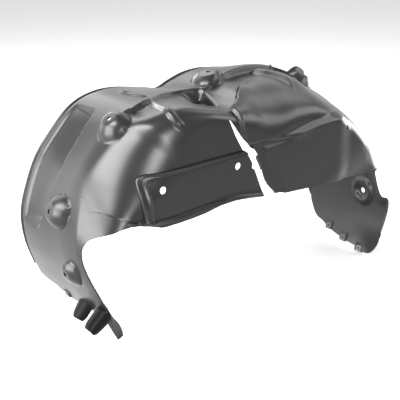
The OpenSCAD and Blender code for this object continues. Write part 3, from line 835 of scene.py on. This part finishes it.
def pad_axes(pad):
    """Place and axes of a spring nut's pad: outward, along the arch's axis, away from the floor."""
    angle, y, twist, lean, side = pad
    r = barrel_r(np.asarray(float(angle)), np.asarray(float(y))) - SHEET / 2
    flip = np.eye(3) if side > 0 else np.diag([1.0, -1.0, -1.0])
    matrix = flip @ turn("Y", lean) @ turn("Z", twist) @ turn("Y", -angle)
    centre = np.array([AXLE[0] + r * cosd(angle), y, AXLE[1] + r * sind(angle)]) + MIDDLE
    return centre, matrix


def wall_hole(x, z, radius, ahead=CUT_AHEAD, length=50):
    """Cutter along Y for a hole in the side wall, from in front of the wall."""
    start = np.array([x, Y_WALL - ahead, AXLE[1] + z]) + MIDDLE
    return rod("wall_hole", start, (0, 1, 0), radius, length)


def sheet_additions(tree):
    """Bands, tongues, tab and pads that are joined to the plain sheet."""
    added = [
        ribbon("frame", tree, wall_points, FRAME_OUT, FRAME_IN, FRAME_PROFILE, 90),
        ribbon("lens", tree, barrel_points, LENS_LEFT, LENS_RIGHT, LENS_PROFILE, 50, (0.12, 0.12)),
        ribbon("roll", tree, wall_points, ROLL_TOP, ROLL_LOW, ROLL_PROFILE, 60, (0.1, 0.04)),
    ]
    added += [tongue(*row) for row in TONGUES]
    root = np.array([0, 0, AXLE[1] + TAB_ROOT]) + MIDDLE
    added.append(box("tab_root", root, np.eye(3), (-14, -143.5, -13), (-2, -138, 13)))
    front = Y_WALL + MIDDLE[1] + 4
    added.append(prism("tab", tab_outline(), front, front + SHEET))
    for pad in PADS:
        centre, matrix = pad_axes(pad)
        added.append(box("pad", centre, matrix, (-2.5, -11, -6), (2.5, 11, 15)))
    return added


def sheet_cutters(settings):
    """Slit and holes that are cut through the sheet."""
    slit = np.array(SLIT_LEFT + SLIT_RIGHT, float) + [MIDDLE[0], AXLE[1] + MIDDLE[2]]
    cutters = [prism("slit", slit, Y_WALL - CUT_AHEAD, Y_WALL + MIDDLE[1] + 14)]
    cutters += [wall_hole(x, z, settings.panel_hole / MM / 2) for x, z in PANEL_HOLES]
    for centre, axis, _, _, height in BOSSES:
        n = np.array(axis) / np.linalg.norm(axis)
        start = np.array(centre) + n * (height - 20) + MIDDLE
        cutters.append(rod("screw_hole", start, n, settings.screw_hole / MM / 2, 40))
    cutters.append(wall_hole(*SIDE_HOLE, SIDE_HOLE_R, 40, 70))
    angle, y = FOOT_HOLE
    way = np.array([cosd(angle), 0, sind(angle)])
    start = np.array([AXLE[0], y, AXLE[1]]) + way * (ARCH_R - CUT_AHEAD) + MIDDLE
    cutters.append(rod("foot_hole", start, way, FOOT_HOLE_R, 2 * CUT_AHEAD))
    cutters.append(wall_hole(*TAB_HOLE, TAB_HOLE_R, 10, 60))
    for pad in PADS:
        centre, matrix = pad_axes(pad)
        start = centre + np.array([-20, 0, 1.5]) @ matrix
        cutters.append(rod("pad_hole", start, matrix[0], PAD_HOLE_R, 40))
    return cutters


def plastic_material(settings, name, gloss):
    """Satin black moulded plastic: fine grain and a little unevenness in its roughness."""
    material = bpy.data.materials.new(name)
    material.use_nodes = True
    nodes = material.node_tree.nodes
    links = material.node_tree.links
    shader = nodes["Principled BSDF"]
    shader.inputs["Base Color"].default_value = (*settings.plastic_colour, 1)
    shader.inputs["Specular IOR Level"].default_value = gloss
    place = nodes.new("ShaderNodeTexCoord")
    cloud = nodes.new("ShaderNodeTexNoise")
    cloud.inputs["Scale"].default_value = 9
    cloud.inputs["Detail"].default_value = 4
    spread = nodes.new("ShaderNodeMapRange")
    spread.inputs["To Min"].default_value = settings.plastic_roughness - 0.05
    spread.inputs["To Max"].default_value = settings.plastic_roughness + 0.07
    grain = nodes.new("ShaderNodeTexNoise")
    grain.inputs["Scale"].default_value = 700
    bump = nodes.new("ShaderNodeBump")
    bump.inputs["Strength"].default_value = 0.12
    bump.inputs["Distance"].default_value = 0.0004
    links.new(place.outputs["Object"], cloud.inputs["Vector"])
    links.new(cloud.outputs["Fac"], spread.inputs["Value"])
    links.new(spread.outputs["Result"], shader.inputs["Roughness"])
    links.new(place.outputs["Object"], grain.inputs["Vector"])
    links.new(grain.outputs["Fac"], bump.inputs["Height"])
    links.new(bump.outputs["Normal"], shader.inputs["Normal"])
    return material


def steel_material():
    """Zinc plated spring steel with faint brushing."""
    material = bpy.data.materials.new("spring_steel")
    material.use_nodes = True
    nodes = material.node_tree.nodes
    links = material.node_tree.links
    shader = nodes["Principled BSDF"]
    shader.inputs["Base Color"].default_value = (*STEEL_COLOUR, 1)
    shader.inputs["Metallic"].default_value = 0.9
    place = nodes.new("ShaderNodeTexCoord")
    cloud = nodes.new("ShaderNodeTexNoise")
    cloud.inputs["Scale"].default_value = 160
    spread = nodes.new("ShaderNodeMapRange")
    spread.inputs["To Min"].default_value = 0.25
    spread.inputs["To Max"].default_value = 0.5
    links.new(place.outputs["Object"], cloud.inputs["Vector"])
    links.new(cloud.outputs["Fac"], spread.inputs["Value"])
    links.new(spread.outputs["Result"], shader.inputs["Roughness"])
    return material


class LinerSettings(bpy.types.PropertyGroup):
    """Sizes and colours that a user would change."""
    sheet_thickness: FloatProperty(
        name="Sheet thickness", description="Thickness of the moulded sheet",
        default=SHEET * MM, unit="LENGTH")
    panel_hole: FloatProperty(
        name="Panel holes", description="Diameter of the two holes in the left panel",
        default=0.015, unit="LENGTH")
    screw_hole: FloatProperty(
        name="Screw holes", description="Diameter of the screw holes in the bosses",
        default=0.009, unit="LENGTH")
    plastic_colour: FloatVectorProperty(
        name="Plastic", description="Colour of the moulded plastic", subtype="COLOR",
        default=(0.0035, 0.0033, 0.0034), min=0, max=1)
    plastic_roughness: FloatProperty(
        name="Roughness", description="Roughness of the moulded plastic",
        default=0.29, min=0, max=1)
    floor_colour: FloatVectorProperty(
        name="Floor", description="Colour of the floor", subtype="COLOR",
        default=(0.46, 0.46, 0.46), min=0, max=1)


class LINER_OT_sheet(bpy.types.Operator):
    """Build the moulded sheet with its slit and holes"""
    bl_idname = "liner.sheet"
    bl_label = "Moulded sheet"

    def execute(self, context):
        settings = context.scene.liner
        thick = settings.sheet_thickness / MM
        angles = np.concatenate([np.linspace(a, b, n) for a, b, n in STRETCHES])
        angles = fine(angles, SECTION_PARTS)
        lengths = fine(row_places(angles), ROW_PARTS)
        outer = evened(sheet_skin(angles[:, None], lengths), EVENED_PLACE, EVENED_REACH)
        inner = (outer - thick * grid_normals(outer))[:, ::INNER_ROWS]
        outer = outer + MIDDLE
        mesh = closed_sheet("liner_sheet", outer, inner + MIDDLE, INNER_ROWS)
        mesh.materials.append(plastic_material(settings, "black_plastic", PLAIN_GLOSS))
        # Second material: the same plastic with little specular, painted shade for the tongues
        mesh.materials.append(plastic_material(settings, "tongue_shade_plastic", TONGUE_SHADE_GLOSS))
        piece = new_object("liner_sheet", mesh)
        outward(mesh)
        plain = grid_faces(*outer.shape[:2]).tolist()
        tree = BVHTree.FromPolygons(outer.reshape(-1, 3).tolist(), plain, epsilon=0.02)
        join(piece, sheet_additions(tree))
        cut(piece, sheet_cutters(settings))
        smooth(piece.data, 42)
        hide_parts("liner")
        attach(piece, "root")
        return {"FINISHED"}


class LINER_OT_nuts(bpy.types.Operator):
    """Give the spring nuts their steel"""
    bl_idname = "liner.nuts"
    bl_label = "Spring nuts"

    def execute(self, context):
        piece = frame["nodes"]["spring_nuts"]
        piece.data.materials.clear()
        piece.data.materials.append(steel_material())
        return {"FINISHED"}


class LINER_OT_stage(bpy.types.Operator):
    """Set the floor, the lights and the camera"""
    bl_idname = "liner.stage"
    bl_label = "Stage"

    def execute(self, context):
        settings = context.scene.liner
        mesh = bpy.data.meshes.new("floor")
        w = FLOOR_REACH
        mesh.from_pydata([(-w, -w, 0), (w, -w, 0), (w, w, 0), (-w, w, 0)], [], [(0, 1, 2, 3)])
        floor = new_object("floor", mesh)
        material = bpy.data.materials.new("floor")
        material.use_nodes = True
        shader = material.node_tree.nodes["Principled BSDF"]
        shader.inputs["Base Color"].default_value = (*settings.floor_colour, 1)
        shader.inputs["Roughness"].default_value = 0.9
        mesh.materials.append(material)
        world = bpy.data.worlds.new("studio")
        bpy.context.scene.world = world
        world.use_nodes = True
        back = world.node_tree.nodes["Background"]
        back.inputs["Color"].default_value = (1, 1, 1, 1)
        back.inputs["Strength"].default_value = WORLD_RADIANCE
        for name, way, distance, size_x, size_y, radiance in SOFTBOXES:
            light = bpy.data.lights.new(name, "AREA")
            light.shape = "RECTANGLE"
            light.size = size_x
            light.size_y = size_y
            light.energy = radiance * np.pi * size_x * size_y
            lamp = bpy.data.objects.new(name, light)
            bpy.context.collection.objects.link(lamp)
            way = Vector(way).normalized()
            lamp.location = way * distance + Vector(LIGHT_AIM)
            lamp.rotation_euler = way.to_track_quat("Z", "Y").to_euler()
        away = Vector(CAMERA_WAY).normalized()
        data = bpy.data.cameras.new("camera")
        data.sensor_width = SENSOR_WIDTH
        data.lens = PIXELS_PER_MM * CAMERA_DISTANCE / MM / PICTURE_WIDTH * SENSOR_WIDTH
        camera = bpy.data.objects.new("camera", data)
        bpy.context.collection.objects.link(camera)
        camera.location = Vector(CAMERA_TARGET) + away * CAMERA_DISTANCE
        camera.rotation_euler = away.to_track_quat("Z", "Y").to_euler()
        bpy.context.scene.camera = camera
        bpy.context.scene.view_settings.view_transform = "Standard"
        return {"FINISHED"}


class LINER_PT_panel(bpy.types.Panel):
    """Lists the steps of the liner"""
    bl_idname = "LINER_PT_panel"
    bl_label = "Wheel arch liner"
    bl_space_type = "VIEW_3D"
    bl_region_type = "UI"
    bl_category = "Liner"

    def draw(self, context):
        settings = context.scene.liner
        for name in ("sheet_thickness", "panel_hole", "screw_hole", "plastic_colour",
                     "plastic_roughness", "floor_colour"):
            self.layout.prop(settings, name)
        for operator in (LINER_OT_sheet, LINER_OT_nuts, LINER_OT_stage):
            self.layout.operator(operator.bl_idname)


CLASSES = (LinerSettings, LINER_OT_sheet, LINER_OT_nuts, LINER_OT_stage, LINER_PT_panel)


def register():
    """Registers the classes and the settings."""
    for item in CLASSES:
        bpy.utils.register_class(item)
    bpy.types.Scene.liner = PointerProperty(type=LinerSettings)


def unregister():
    """Takes the classes and the settings away again."""
    del bpy.types.Scene.liner
    for item in reversed(CLASSES):
        bpy.utils.unregister_class(item)


def main():
    register()
    bpy.ops.liner.sheet()
    bpy.ops.liner.nuts()
    bpy.ops.liner.stage()


if __name__ == "__main__":
    main()
